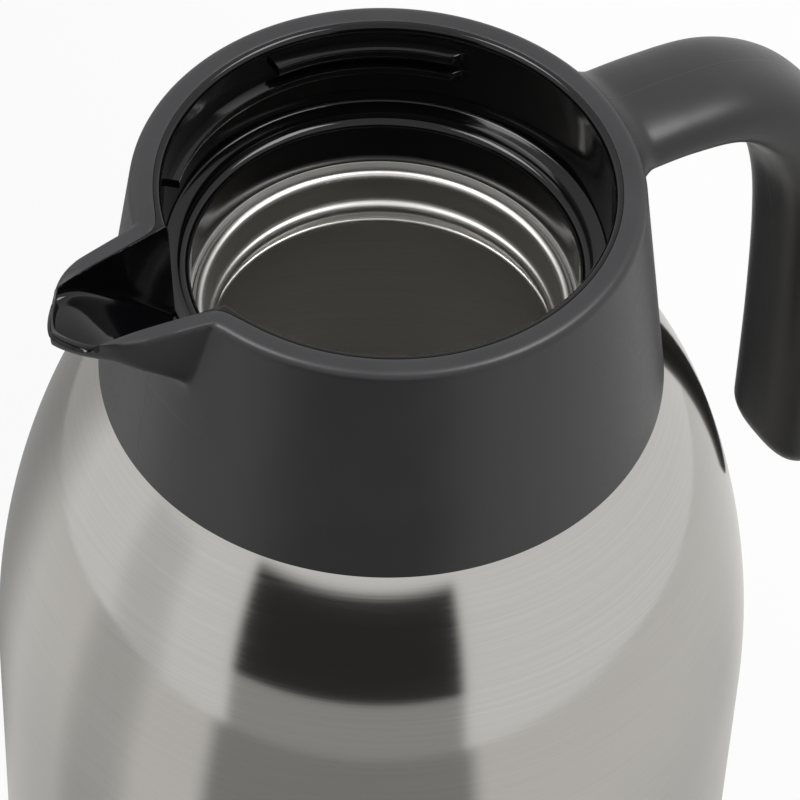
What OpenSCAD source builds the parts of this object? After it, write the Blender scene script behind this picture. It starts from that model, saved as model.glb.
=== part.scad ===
// Vacuum carafe with a pouring spout, and its twist-in flip lid standing beside it.
// Millimetres. The origin is the centre of the foot on the table, with +Z up.
// The handle points along +X and the spout along -X.

/* [Body] */
// Height of the pouring rim over the table
rim_height = 218; // [200:1:262]
// Widest diameter of the steel body
body_d = 149; // [140:1:180]
// Drop from the rim to where the wall starts to curve in
shoulder_drop = 128; // [120:1:135]
// Radius of the shoulder's lower curve, seen from the side
shoulder_curve = 176; // [170:1:190]
// Height of the lower curve, up to where the upper curve takes over
shoulder_rise = 55.6; // [50:0.2:60]
// Radius of the shoulder's upper curve, seen from the side
upper_curve = 90; // [80:1:110]
// Radius of the curve at the foot of the steel body
foot_curve = 12; // [10:1:16]
// Sheet thickness of the outer shell
shell_wall = 0.8; // [0.6:0.1:1.2]
// Sheet thickness of the inner vessel
vessel_wall = 0.6; // [0.5:0.1:1]
// Vacuum gap between the two walls
vacuum_gap = 4.5; // [3:0.5:6]
// Vacuum gap over the bottom disc
bottom_gap = 12; // [10:1:20]

/* [Neck] */
// Outer radius of the steel neck
neck_r = 35.6; // [34:0.1:36]
// Drop from the rim to the top of the steel lip
lip_drop = 31.3; // [31:0.1:34]
// Half thickness of the rolled lip
lip_round = 1.3; // [1:0.1:1.5]
// Height of the steel neck from shoulder to lip
neck_length = 10.7; // [10:0.1:14]
// Height of the bead below the lip
bead_drop = 8.3; // [7:0.1:9]
// How far the bead stands into the neck
bead_depth = 1.4; // [0.8:0.1:2]

/* [Collar] */
// Width of the satin rim round the liner
rim_band = 4.9; // [4.5:0.1:6]
// Rounding of the rim's outer edge
rim_round = 2; // [1.5:0.5:3]
// Height of the collar's wall
collar_height = 47; // [44:0.5:50]
// Wall thickness of the collar
collar_wall = 2.4; // [2:0.1:3]
// Thickness of the collar's skirt where it meets the steel
skirt_edge = 0.9; // [0.8:0.1:1.5]

/* [Mouth] */
// Inner radius of the mouth
mouth_r = 40.4; // [40:0.1:41]
// Wall thickness of the liner
liner_wall = 1.6; // [1.4:0.1:2]
// Depth of the mouth's floor below the rim, at the wall
floor_depth = 19.4; // [18:0.2:21]
// How far the liner's lower tube lies outside the steel neck
throat_step = 0.4; // [0.2:0.1:1]
// How far the ribs stand into the mouth
rib_depth = 2.2; // [1.5:0.1:2.4]
// Depth of the upper rib's top face below the rim
upper_rib_drop = 3.9; // [3.5:0.1:4.5]
// Depth of the lower rib's underside below the rim
lower_rib_drop = 10.3; // [9:0.1:11]

/* [Spout] */
// Reach of the spout's tip from the axis
spout_reach = 69.4; // [66:0.2:80]
// Half width of the spout at the collar
spout_half_width = 13.5; // [12:0.1:16]
// Depth of the spout at the collar
spout_depth = 20; // [16:0.5:24]
// Thickness of the tip
tip_depth = 3.4; // [3:0.1:5]
// Radius of the tip, seen from above
tip_r = 10.4; // [8:0.2:11]
// Width of the spout's satin wall, beside the liner's channel
spout_wall = 3; // [2:0.1:3.4]

/* [Handle] */
// Depth of the arm's middle below the rim
arm_drop = 8.7; // [8:0.1:12]
// Gap from the widest body radius to the middle of the grip
grip_gap = 26.2; // [22:0.2:36]
// Depth of the grip's end below the rim
grip_drop = 118; // [100:1:140]
// Half width of the grip
grip_half_width = 12.6; // [11:0.1:15]
// Half thickness of the grip
grip_half_thick = 8.2; // [7:0.1:10]
// Half thickness of the arm
arm_half_thick = 6; // [5:0.1:7]

/* [Lid] */
// Gap round the lid's cover in the mouth, and round its stopper inside the ribs
lid_gap = 0.8; // [0.5:0.1:1.2]
// Height of the cover over the rim
cover_rise = 2.6; // [2:0.1:5]
// Height of the stopper's foot over the steel lip, with the lid shut
foot_gap = 1; // [0.6:0.1:1.6]
// Inner radius of the pouring port
port_r = 7; // [5:0.5:8]
// Half width of the lever
lever_half_width = 15; // [12:0.5:16]
// Radius of the hinge pin
pin_r = 1.5; // [1.2:0.1:1.8]
// Gap between the carafe and the lid on the table
park_gap = 16; // [2:1:40]
// Direction of the lid on the table, turned from the handle
park_angle = 57; // [45:1:70]

/* [Hidden] */
$fn = 96;

// Clearance between mouldings that fit into each other
fit_gap = 0.15;
// Clearance round a pin that turns, and round a pin that is pressed in
pin_gap = 0.06;
press_gap = 0.02;
// Clearance between faces that move past each other
run_gap = 0.4;
// Overshoot of a cut past the face that it opens
past = 1;
// Facets of a large round edge
ring_fn = 180;

// Colours
steel = [0.72, 0.71, 0.69];
dark_steel = [0.45, 0.44, 0.43];
copper = [0.75, 0.5, 0.35];
satin_black = [0.2, 0.2, 0.21];
gloss_black = [0.03, 0.03, 0.035];
rubber_black = [0.12, 0.12, 0.12];
silicone = [0.55, 0.55, 0.53];
foam = [0.9, 0.89, 0.84];

// Heights and radii that several pieces share
body_r = body_d / 2;
shoulder_z = rim_height - shoulder_drop;
lip_z = rim_height - lip_drop;
shoulder_top = lip_z - neck_length;
collar_z = rim_height - collar_height;
liner_r = mouth_r + liner_wall;
bore_r = liner_r + fit_gap;
rim_r = liner_r + rim_band;
throat_r = neck_r + throat_step;

// The upper curve of the shoulder starts where the lower one ends, and both are tangent there
break_angle = asin(shoulder_rise / shoulder_curve);
lower_x = body_r - shoulder_curve;
upper_x = lower_x + (shoulder_curve - upper_curve) * cos(break_angle);
upper_z = shoulder_z + (shoulder_curve - upper_curve) * sin(break_angle);

function break_z(inset) = shoulder_z + (shoulder_curve - inset) * sin(break_angle);

// Radius of the steel shoulder at a height
function shoulder_r(z, inset = 0) =
    z < break_z(inset)
        ? lower_x + sqrt(pow(shoulder_curve - inset, 2) - pow(z - shoulder_z, 2))
        : upper_x + sqrt(pow(upper_curve - inset, 2) - pow(z - upper_z, 2));

// Half section of a closed barrel with a curved shoulder and a curved foot.
// The inset moves every wall inwards, and the low and high ends are given as they are.
module barrel_half(inset, low, corner, high) {
    barrel_r = body_r - inset;
    turn_z = break_z(inset);
    translate([0, low + corner]) square([barrel_r, shoulder_z - low - corner]);
    intersection() {
        translate([lower_x, shoulder_z]) circle(shoulder_curve - inset, $fn = 360);
        translate([0, shoulder_z]) square([body_d, turn_z - shoulder_z]);
    }
    intersection() {
        translate([upper_x, upper_z]) circle(upper_curve - inset, $fn = 360);
        translate([0, turn_z]) square([body_d, high - turn_z]);
    }
    // Joins the two curves where they meet
    polygon([
        [0, turn_z - past],
        [shoulder_r(turn_z - past, inset), turn_z - past],
        [shoulder_r(turn_z, inset), turn_z],
        [shoulder_r(turn_z + past, inset), turn_z + past],
        [0, turn_z + past]
    ]);
    translate([0, low]) square([barrel_r - corner, corner + past]);
    intersection() {
        translate([barrel_r - corner, low + corner]) circle(corner);
        translate([0, low]) square([body_d, corner]);
    }
}

// Foot of the carafe: the pad stands out of the cap, and the cap closes the recess in the steel
pad_height = 1.6;
pad_depth = 0.8;
cap_floor = 1.8;
cap_rim = 1.4;
recess_depth = 5;
cap_low_z = pad_height - pad_depth;
foot_z = cap_low_z + cap_floor + cap_rim;
shell_opening_r = body_r - foot_curve - 4.5;
base_r = shell_opening_r - 0.1;
base_z = foot_z + recess_depth;
cap_r = shell_opening_r + 4;
pad_r = shell_opening_r - 1;

// Steel body

// Straight part under the rolled lip, which stands on the end of the outer neck
lip_seat = lip_round + 0.3;
lip_base = lip_round + lip_seat;

module outer_shell() {
    color(steel) rotate_extrude($fn = ring_fn) difference() {
        union() {
            barrel_half(0, foot_z, foot_curve, shoulder_top);
            translate([0, shoulder_top - past]) square([neck_r, neck_length - lip_base + past]);
        }
        barrel_half(shell_wall, foot_z + shell_wall, foot_curve - shell_wall, shoulder_top - shell_wall);
        translate([0, foot_z - past]) square([shell_opening_r, shell_wall + 2 * past]);
        translate([0, foot_z]) square([neck_r - shell_wall, lip_z - foot_z]);
    }
}

// Evacuation hole in the bottom disc
evacuation_r = 2;

module outer_base() {
    color(dark_steel) rotate_extrude($fn = ring_fn) {
        translate([base_r - shell_wall, foot_z]) square([shell_wall, recess_depth]);
        translate([evacuation_r, base_z - shell_wall]) square([base_r - evacuation_r, shell_wall]);
    }
}

// Button that seals the evacuation hole from below
seal_r = 6;
seal_height = 1.2;

module vacuum_seal() {
    under_disc = base_z - shell_wall;
    color(steel) translate([0, 0, under_disc]) {
        translate([0, 0, -seal_height]) cylinder(r = seal_r, h = seal_height);
        translate([0, 0, -seal_height]) cylinder(r = evacuation_r - 0.1, h = seal_height + shell_wall);
    }
}

// Getter pill on the bottom disc, in the vacuum gap
getter_r = 6;
getter_height = 3;

module getter() {
    color(dark_steel) translate([0.6 * shell_opening_r, 0, base_z]) {
        cylinder(r = getter_r, h = getter_height / 3);
        cylinder(r = 0.75 * getter_r, h = getter_height);
    }
}

// Inner vessel: its foot, its neck radius and where its shoulder ends
vessel_inset = shell_wall + vacuum_gap;
vessel_foot_z = base_z + bottom_gap;
vessel_corner = 14;
vessel_neck_r = neck_r - 2 * lip_round;
vessel_neck_z = shoulder_top - 2.2;
vessel_roof = 6;
vessel_shoulder_z = vessel_neck_z - vessel_roof;
bead_round = 1.6;

// The roof of the vessel slopes from the shoulder's curve to the foot of the neck
module vessel_half(inset) {
    wall_inset = vessel_inset + inset;
    neck = vessel_neck_r + vessel_wall - inset;
    roof_z = vessel_neck_z + vessel_wall - inset;
    barrel_half(wall_inset, vessel_foot_z + inset, vessel_corner - inset, vessel_shoulder_z);
    polygon([
        [0, vessel_shoulder_z - past],
        [shoulder_r(vessel_shoulder_z - past, wall_inset), vessel_shoulder_z - past],
        [shoulder_r(vessel_shoulder_z, wall_inset), vessel_shoulder_z],
        [neck, roof_z],
        [neck, lip_z - lip_round],
        [0, lip_z - lip_round]
    ]);
}

module inner_vessel() {
    color(steel) rotate_extrude($fn = ring_fn) {
        difference() {
            vessel_half(0);
            vessel_half(vessel_wall);
        }
        // Rolled lip over the end of the outer neck
        translate([neck_r - lip_round, lip_z - lip_round]) circle(lip_round);
        translate([vessel_neck_r, lip_z - lip_base]) square([2 * lip_round, lip_seat]);
        // Rolled bead, with its back flush with the neck
        intersection() {
            translate([vessel_neck_r - bead_depth + bead_round, lip_z - bead_drop]) circle(bead_round);
            translate([0, vessel_neck_z]) square([vessel_neck_r + vessel_wall, neck_length]);
        }
    }
}

// Foil round the straight part of the inner vessel
foil_wall = 0.25;

module radiation_foil() {
    foil_r = body_r - vessel_inset + fit_gap;
    foil_z = vessel_foot_z + vessel_corner;
    color(copper) translate([0, 0, foil_z]) difference() {
        cylinder(r = foil_r + foil_wall, h = shoulder_z - foil_z, $fn = ring_fn);
        translate([0, 0, -past]) cylinder(r = foil_r, h = shoulder_z - foil_z + 2 * past, $fn = ring_fn);
    }
}

// Spout: a boat-shaped body, lofted through cross sections from the collar to the tip

spout_root_x = sqrt(pow(rim_r, 2) - pow(spout_half_width, 2));
// Power of the section's curve: 2 is an ellipse, more is squarer
spout_fullness = 5;
// Half width that the side faces lose per millimetre of depth
side_lean = 0.1;
// The keel rises in a straight line and levels out this far before the tip
tip_level = 6.6;
section_steps = 16;
side_steps = 4;
tip_steps = 6;
// The channel stays at least this deep, up to the tip
least_depth = 0.4;
// Floor of the satin spout under the liner, wall of the liner's channel, and the gap between them
spout_floor = 1.6;
channel_wall = 1.2;
channel_gap = 0.1;
collar_tip = spout_reach - 0.8;
// The forms start well inside the mouth
spout_start = mouth_r - 5;

// Angle of the side, so that the straight side runs tangent into the round tip
function side_angle(half, round_r, reach) =
    let (run = reach - round_r - spout_root_x)
    atan2(half, run) - asin(round_r / norm([run, half]));

// Stations along the spout: distance from the axis and half width
function side_stations(half, round_r, reach, start) =
    let (slope = side_angle(half, round_r, reach),
         tip_middle = reach - round_r,
         side_end = tip_middle + round_r * sin(slope))
    concat(
        [for (step = [0:side_steps - 1])
            let (x = start + (side_end - start) * step / side_steps)
            [x, half - (x - spout_root_x) * tan(slope)]],
        [for (step = [0:tip_steps])
            let (turn = slope + (88 - slope) * step / tip_steps)
            [tip_middle + round_r * sin(turn), round_r * cos(turn)]]
    );

// Depth of the keel, less the floor that lies under the form
function keel_depth(x, floor_inset) =
    let (rise = max(0, spout_reach - tip_level - x) / (spout_reach - tip_level - spout_root_x))
    max(least_depth, tip_depth - floor_inset + (spout_depth - tip_depth) * rise);

// Point of a section at a turn from the near rim edge, round the keel, to the far rim edge
function section_point(x, half, deep, turn) =
    let (level = pow(abs(sin(turn)), 2 / spout_fullness),
         side = pow(abs(cos(turn)), 2 / spout_fullness) * (half - side_lean * deep * level))
    [-x, -side * sign(cos(turn)), -deep * level];

// One cross section. A cutting form has a straight neck of the given height over the rim.
function spout_section(station, floor_inset, deepest, neck) =
    let (x = station[0], half = station[1], deep = min(deepest, keel_depth(x, floor_inset)))
    concat(
        neck > 0 ? [[-x, -half, neck]] : [],
        [for (step = [0:section_steps]) section_point(x, half, deep, 180 * step / section_steps)],
        neck > 0 ? [[-x, half, neck]] : []
    );

// Triangles of a loft through rings of equal size, closed at both ends
function loft_faces(rings, points) = concat(
    [for (ring = [0:rings - 2], point = [0:points - 1])
        let (next = (point + 1) % points, low = ring * points, high = low + points)
        [low + point, low + next, high + next]],
    [for (ring = [0:rings - 2], point = [0:points - 1])
        let (next = (point + 1) % points, low = ring * points, high = low + points)
        [low + point, high + next, high + point]],
    [for (point = [1:points - 2]) [0, point + 1, point]],
    [for (point = [1:points - 2])
        let (low = (rings - 1) * points)
        [low, low + point, low + point + 1]]
);

// The form lies inside the spout's outer face by a side inset and a floor inset
module spout_form(inset, floor_inset, reach, start, deepest = spout_depth + 9, neck = 0) {
    stations = side_stations(spout_half_width - inset, tip_r - inset, reach, start);
    sections = [for (station = stations) spout_section(station, floor_inset, deepest, neck)];
    translate([0, 0, rim_height]) polyhedron(
        [for (section = sections, point = section) point],
        loft_faces(len(sections), len(sections[0]))
    );
}

// Screws: a pan head on a plain shank

screw_r = 1.5;
screw_head_r = 2.8;
screw_head_height = 1.8;
collar_screw_length = 5.2;
handle_screw_length = 13;

// Head upwards at the origin, shank downwards, with a cross recess
module pan_screw(shank) {
    recess = [3.4, 0.8, 0.9];
    difference() {
        union() {
            cylinder(r = screw_head_r, h = screw_head_height, $fn = 32);
            translate([0, 0, -shank]) cylinder(r = screw_r, h = shank + screw_head_height / 2, $fn = 32);
        }
        for (turn = [0, 90]) rotate(turn)
            translate([-recess[0] / 2, -recess[1] / 2, screw_head_height - recess[2]])
                cube([recess[0], recess[1], recess[2] + past]);
    }
}

// Collar, carried by a flange that is screwed to the neck ring

ring_wall = 5.1;
ring_tube_r = neck_r + fit_gap + ring_wall;
flange_hole_r = ring_tube_r + fit_gap;
screw_circle_r = flange_hole_r + screw_head_r + run_gap;
ring_plate_r = screw_circle_r + 2 * screw_r;
ring_plate_height = 3.5;
flange_z = shoulder_top + ring_plate_height;
flange_height = 2.5;
skirt_r = shoulder_r(collar_z) + skirt_edge;
top_flange = 4;

// Slope of the collar's wall, tangent to the rounded rim
wall_slope = atan2(skirt_r - rim_r, collar_height - rim_round);

module collar_screw_at(turn) {
    rotate(45 + 90 * turn) translate([screw_circle_r, 0, flange_z + flange_height]) children();
}

// The seat of the handle's screws is flat, a little inside the collar's wall
module handle_screw_at(side) {
    spread = grip_half_width / 2;
    translate([rim_r - collar_wall + 0.3, side * spread, rim_height - arm_drop])
        rotate([0, 90, 0]) children();
}

module collar_half() {
    // The wall runs into the round edge a hair inside it
    meet_r = rim_round - 0.02;
    tangent_x = rim_r - rim_round + meet_r * cos(wall_slope);
    tangent_z = rim_height - rim_round + meet_r * sin(wall_slope);
    translate([rim_r - rim_round, rim_height - rim_round]) circle(rim_round);
    polygon([
        [0, collar_z],
        [skirt_r, collar_z],
        [tangent_x, tangent_z],
        [rim_r - rim_round, tangent_z],
        [rim_r - rim_round, rim_height],
        [0, rim_height]
    ]);
}

// Room inside the collar, under the top flange that holds the liner and round the lower flange
module collar_room_half() {
    room_top = rim_height - top_flange;
    wall_x = collar_wall / cos(wall_slope);
    low_r = skirt_r - wall_x;
    high_r = rim_r - wall_x + (skirt_r - rim_r) * top_flange / collar_height;
    difference() {
        polygon([[0, collar_z], [low_r, collar_z], [high_r, room_top], [0, room_top]]);
        translate([0, flange_z]) square([body_r, flange_height]);
    }
}

// Steel shoulder with its clearance, cut out of the collar's skirt
module shoulder_seat() {
    rotate_extrude($fn = ring_fn) barrel_half(-fit_gap, foot_z, foot_curve, shoulder_top + fit_gap);
}

module collar() {
    color(satin_black) difference() {
        union() {
            difference() {
                rotate_extrude($fn = ring_fn) difference() {
                    collar_half();
                    collar_room_half();
                    translate([0, rim_height - top_flange - past]) square([bore_r, top_flange + 2 * past]);
                    translate([0, collar_z - past]) square([flange_hole_r, collar_height]);
                }
                shoulder_seat();
            }
            difference() {
                spout_form(0, 0, collar_tip, spout_start);
                translate([0, 0, collar_z]) cylinder(r = bore_r, h = collar_height + past);
            }
        }
        spout_form(
            spout_wall - channel_gap, spout_floor - channel_gap, spout_reach + channel_gap,
            spout_start - past, neck = past
        );
        for (side = [-1, 1]) handle_screw_at(side) {
            translate([0, 0, -past]) cylinder(r = screw_r + 0.2, h = handle_screw_length);
            translate([0, 0, -8]) cylinder(r = screw_head_r + 0.3, h = 8);
        }
        for (turn = [0:3]) collar_screw_at(turn)
            cylinder(r = screw_r + 0.2, h = 2 * (flange_height + past), center = true);
    }
}

// Liner of the mouth, with the ribs that hold the lid and the pouring channel

lip_radius = 1.3;
floor_fall = 0.9;
floor_wall = 3;
throat_wall = 2;
mouth_chamfer = 1.4;
floor_z = rim_height - floor_depth;
throat_top_z = floor_z - floor_fall - lip_radius;
liner_foot_z = lip_z + 0.5;
// Ribs, with their angles from the handle: both start together, and the lower one is longer
rib_start = 37;
upper_rib_span = 53;
lower_rib_span = 103;
rib_height = 2;

module rib(top_z, span) {
    rotate_extrude(angle = span, start = rib_start, $fn = ring_fn)
        translate([mouth_r - rib_depth, top_z - rib_height])
            square([rib_depth + liner_wall / 3, rib_height]);
}

module liner_half() {
    lip_x = throat_r + lip_radius;
    difference() {
        translate([mouth_r, floor_z - past]) square([liner_wall, floor_depth + past]);
        polygon([
            [mouth_r - past, rim_height - mouth_chamfer - past],
            [mouth_r - past, rim_height + past],
            [mouth_r + mouth_chamfer + past, rim_height + past]
        ]);
    }
    // Floor, sloping inwards to the rounded lip
    polygon([
        [liner_r, floor_z - floor_wall],
        [liner_r, floor_z],
        [mouth_r, floor_z],
        [lip_x, floor_z - floor_fall],
        [lip_x, floor_z - floor_wall]
    ]);
    translate([lip_x, throat_top_z]) circle(lip_radius);
    translate([throat_r, liner_foot_z]) square([throat_wall, throat_top_z - liner_foot_z]);
}

module mouth_liner() {
    color(gloss_black) {
        difference() {
            union() {
                rotate_extrude($fn = ring_fn) liner_half();
                difference() {
                    spout_form(spout_wall, spout_floor, spout_reach, spout_start);
                    translate([0, 0, floor_z - floor_depth])
                        cylinder(r = mouth_r + liner_wall / 4, h = 2 * floor_depth + past);
                }
            }
            // The channel is open at the tip
            spout_form(
                spout_wall + channel_wall, spout_floor + channel_wall, spout_reach + 2,
                spout_start - past, deepest = floor_depth, neck = past
            );
        }
        for (half_turn = [0, 180]) rotate(half_turn) {
            rib(rim_height - upper_rib_drop, upper_rib_span);
            rib(rim_height - lower_rib_drop + rib_height, lower_rib_span);
        }
    }
}

// Ring on the steel neck that carries the collar, and the seal under the liner

gasket_height = 2.2;

module neck_ring() {
    tube_height = liner_foot_z - gasket_height - shoulder_top;
    color(rubber_black) translate([0, 0, shoulder_top]) difference() {
        union() {
            cylinder(r = ring_plate_r, h = ring_plate_height);
            cylinder(r = ring_tube_r, h = tube_height);
        }
        translate([0, 0, -past]) cylinder(r = neck_r + fit_gap, h = tube_height + 2 * past);
        translate([0, 0, -shoulder_top]) for (turn = [0:3]) collar_screw_at(turn)
            translate([0, 0, -collar_screw_length]) cylinder(r = screw_r + 0.05, h = collar_screw_length);
    }
}

module neck_gasket() {
    color(silicone) translate([0, 0, liner_foot_z - gasket_height]) difference() {
        cylinder(r = throat_r + throat_wall + 0.4, h = gasket_height);
        translate([0, 0, -past]) cylinder(r = neck_r + fit_gap, h = gasket_height + 2 * past);
    }
}

module collar_screws() {
    color(steel) for (turn = [0:3]) collar_screw_at(turn) pan_screw(collar_screw_length);
}

// Handle: a soft oval section swept from the collar over the bend and down the grip

grip_x = body_r + grip_gap;
root_x = rim_r - 3;
// Stations: share of the reach, share of the drop, share of the way from arm to grip thickness
handle_stations = [
    [0.00, 0.000, 0.00],
    [0.27, 0.004, 0.00],
    [0.52, 0.030, 0.15],
    [0.72, 0.105, 0.60],
    [0.86, 0.215, 1.15],
    [0.95, 0.340, 1.50],
    [0.99, 0.500, 1.50],
    [1.00, 0.740, 1.15],
    [1.00, 1.000, 1.00]
];
path_steps = 5;
ring_points = 28;
// Power of the section's curve on the arm, and how much more it is on the grip
arm_fullness = 2.3;
grip_fuller = 0.5;
end_steps = 5;

function station_at(index) =
    handle_stations[max(0, min(len(handle_stations) - 1, index))];

// Smooth curve through the stations
function blend(before, from, to, after, share) =
    0.5 * (2 * from + (to - before) * share
        + (2 * before - 5 * from + 4 * to - after) * pow(share, 2)
        + (3 * from - before - 3 * to + after) * pow(share, 3));

handle_shares = [
    for (index = [0:len(handle_stations) - 2], step = [0:path_steps - 1])
        blend(station_at(index - 1), station_at(index), station_at(index + 1), station_at(index + 2),
              step / path_steps),
    handle_stations[len(handle_stations) - 1]
];

function path_point(share) =
    [root_x + (grip_x - root_x) * share[0], rim_height - arm_drop - (grip_drop - arm_drop) * share[1]];

function path_heading(index) =
    let (last = len(handle_shares) - 1,
         from = path_point(handle_shares[max(0, index - 1)]),
         to = path_point(handle_shares[min(last, index + 1)]))
    (to - from) / norm(to - from);

function oval(middle, heading, thick, wide, fullness) =
    [for (point = [0:ring_points - 1])
        let (turn = 360 * point / ring_points,
             out = thick * sign(cos(turn)) * pow(abs(cos(turn)), 2 / fullness),
             across = wide * sign(sin(turn)) * pow(abs(sin(turn)), 2 / fullness))
        [middle[0] - heading[1] * out, across, middle[1] + heading[0] * out]];

function handle_thick(share) = arm_half_thick + (grip_half_thick - arm_half_thick) * share[2];

handle_rings = concat(
    [for (index = [0:len(handle_shares) - 1])
        let (share = handle_shares[index])
        oval(path_point(share), path_heading(index), handle_thick(share), grip_half_width,
             arm_fullness + grip_fuller * min(1, share[2]))],
    // Round end: the section shrinks along a quarter turn
    [for (step = [1:end_steps])
        let (turn = 86 * step / end_steps)
        oval(path_point([1, 1]) - [0, grip_half_thick * sin(turn)], [0, -1],
             grip_half_thick * cos(turn), grip_half_width * (0.35 + 0.65 * cos(turn)) * cos(turn / 2),
             arm_fullness + grip_fuller)]
);

module handle() {
    color(satin_black) difference() {
        polyhedron([for (ring = handle_rings, point = ring) point],
                   loft_faces(len(handle_rings), ring_points));
        rotate_extrude($fn = ring_fn) collar_half();
        for (side = [-1, 1]) handle_screw_at(side)
            cylinder(r = screw_r + 0.05, h = handle_screw_length + past);
    }
}

module handle_screws() {
    color(steel) for (side = [-1, 1]) handle_screw_at(side)
        rotate([180, 0, 0]) pan_screw(handle_screw_length);
}

// Foot: a cap in the recess of the steel, and the pad in the cap

module base_cap() {
    upstand_r = base_r - shell_wall - fit_gap;
    upstand_wall = 2;
    color(satin_black) rotate_extrude($fn = ring_fn) {
        difference() {
            translate([0, cap_low_z]) square([cap_r, foot_z - fit_gap - cap_low_z]);
            square([pad_r + fit_gap, pad_height]);
            translate([0, cap_low_z + pad_depth + cap_floor]) square([upstand_r - upstand_wall, foot_z]);
        }
        translate([upstand_r - upstand_wall, foot_z - past]) square([upstand_wall, recess_depth - past]);
    }
}

module foot_pad() {
    color(rubber_black) cylinder(r = pad_r, h = pad_height, $fn = ring_fn);
}

// Lid, drawn as it sits in the mouth with the rim at height zero, then set down on the table

cover_r = mouth_r - lid_gap;
stopper_r = mouth_r - rib_depth - lid_gap;
stopper_depth = lip_drop - foot_gap;
park_distance = body_r + cover_r + park_gap;
stopper_wall = 2.2;
stopper_foot_r = throat_r - 1.4;
foot_hole_r = stopper_foot_r - stopper_wall;
step_z = -(floor_depth - 2.4);
deck_z = -5.2;
deck_height = 2;
cover_seat_z = -(upper_rib_drop - 0.5);
cover_plate = 2;
bottom_disc = 1.8;

// Pouring port in front, with a raised seat round it
port_x = -20;
port_wall = 2;
seat_rise = 1.6;

// Lugs that turn under the lower ribs, each in the middle of its rib when the lid is shut
lug_height = 3;
lug_span = 60;
lug_start = rib_start + (lower_rib_span - lug_span) / 2;
lug_z = -lower_rib_drop - lug_height - 0.6;

// Hinge of the lever, and the slot in the cover that it turns in
pin_x = 6;
pin_z = -2.2;
barrel_r = pin_r + 1.3;
slot_half = lever_half_width + run_gap;
slot_corner = 5;
ear_width = 3;
ear_size = 6.4;
pin_half = slot_half + ear_width;
flap_low = -1;
// Thumb tab, from the hinge: its reach, the height of its top and its thickness
tab_reach = 22.4;
tab_top = 10.6;
tab_thick = 2.2;
tab_half = lever_half_width - 4;
slot_back = pin_x + norm([tab_reach, tab_top]) + 2 * run_gap;

// Bosses of the cover beside the slot, and their screws
boss_r = 3;
boss_x = 15;
boss_y = slot_half + boss_r + 6;
small_screw_r = 1.25;
small_head_r = 2.4;
small_head_height = 1.6;
small_screw_length = 4.2;

module on_table() {
    translate([park_distance * cos(park_angle), park_distance * sin(park_angle), stopper_depth])
        children();
}

module cover_boss_at() {
    for (side_x = [-1, 1], side_y = [-1, 1]) translate([side_x * boss_x, side_y * boss_y, 0]) children();
}

// A bar along the hinge axis
module hinge_bar(radius, half) {
    translate([pin_x, 0, pin_z]) rotate([90, 0, 0]) cylinder(r = radius, h = 2 * half, center = true);
}

module lid_body() {
    color(satin_black) on_table() difference() {
        union() {
            rotate_extrude($fn = ring_fn) {
                translate([stopper_r - stopper_wall, step_z]) square([stopper_wall, cover_seat_z - step_z]);
                translate([foot_hole_r, -stopper_depth])
                    square([stopper_wall, stopper_depth + step_z + stopper_wall]);
                translate([foot_hole_r, step_z]) square([stopper_r - foot_hole_r, stopper_wall]);
                translate([0, deck_z - deck_height]) square([stopper_r - past, deck_height]);
            }
            translate([port_x, 0, -stopper_depth])
                cylinder(r = port_r + port_wall, h = stopper_depth + deck_z + seat_rise);
            for (half_turn = [0, 180])
                rotate_extrude(angle = lug_span, start = lug_start + half_turn, $fn = ring_fn)
                    translate([stopper_r - past, lug_z])
                        square([mouth_r - lid_gap - stopper_r + past, lug_height]);
            // Ears that carry the hinge pin, under the cover
            for (side = [-1, 1])
                translate([pin_x - ear_size / 2, side * (slot_half + ear_width / 2 + 0.1) - ear_width / 2,
                           deck_z - past])
                    cube([ear_size, ear_width, ear_size]);
        }
        translate([port_x, 0, -stopper_depth - past]) cylinder(r = port_r, h = stopper_depth + 2 * past);
        // Pouring notch in the wall in front
        translate([-stopper_r - past, -slot_half + stopper_wall, deck_z])
            cube([stopper_wall + 2 * past, 2 * (slot_half - stopper_wall), ear_size]);
        hinge_bar(pin_r + press_gap, pin_half + past);
        cover_boss_at() translate([0, 0, deck_z - deck_height - past])
            cylinder(r = small_screw_r + 0.2, h = deck_height + 2 * past, $fn = 32);
    }
}

module lid_bottom() {
    color(satin_black) on_table() translate([0, 0, -stopper_depth]) difference() {
        cylinder(r = foot_hole_r - 0.1, h = bottom_disc);
        translate([port_x, 0, -past]) cylinder(r = port_r + port_wall + 0.1, h = bottom_disc + 2 * past);
    }
}

module lid_insulation() {
    low_z = -stopper_depth + bottom_disc + 0.2;
    foam_height = deck_z - deck_height - small_head_height - 0.6 - low_z;
    color(foam) on_table() translate([0, 0, low_z]) difference() {
        cylinder(r = foot_hole_r - run_gap, h = foam_height);
        translate([port_x, 0, -past]) cylinder(r = port_r + port_wall + run_gap, h = foam_height + 2 * past);
    }
}

// Seal in the throat of the liner, with two grooves
module lid_gasket() {
    inner = stopper_foot_r + 0.05;
    outer = throat_r - fit_gap;
    low_z = 2.3 - stopper_depth;
    height = 6;
    groove_r = 0.9;
    color(silicone) on_table() rotate_extrude($fn = ring_fn) difference() {
        translate([inner, low_z]) square([outer - inner, height]);
        for (share = [0.3, 0.7]) translate([outer + 0.35, low_z + share * height]) circle(groove_r);
    }
}

// Slot in the cover for the lever, open at the front and rounded at the back
module slot_cut() {
    translate([0, 0, deck_z]) linear_extrude(cover_rise - deck_z + past) {
        translate([-cover_r - past, -slot_half])
            square([cover_r + past + slot_back - slot_corner, 2 * slot_half]);
        translate([slot_back - slot_corner - past, -slot_half + slot_corner])
            square([slot_corner + past, 2 * (slot_half - slot_corner)]);
        for (side = [-1, 1])
            translate([slot_back - slot_corner, side * (slot_half - slot_corner)]) circle(slot_corner);
    }
}

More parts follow.
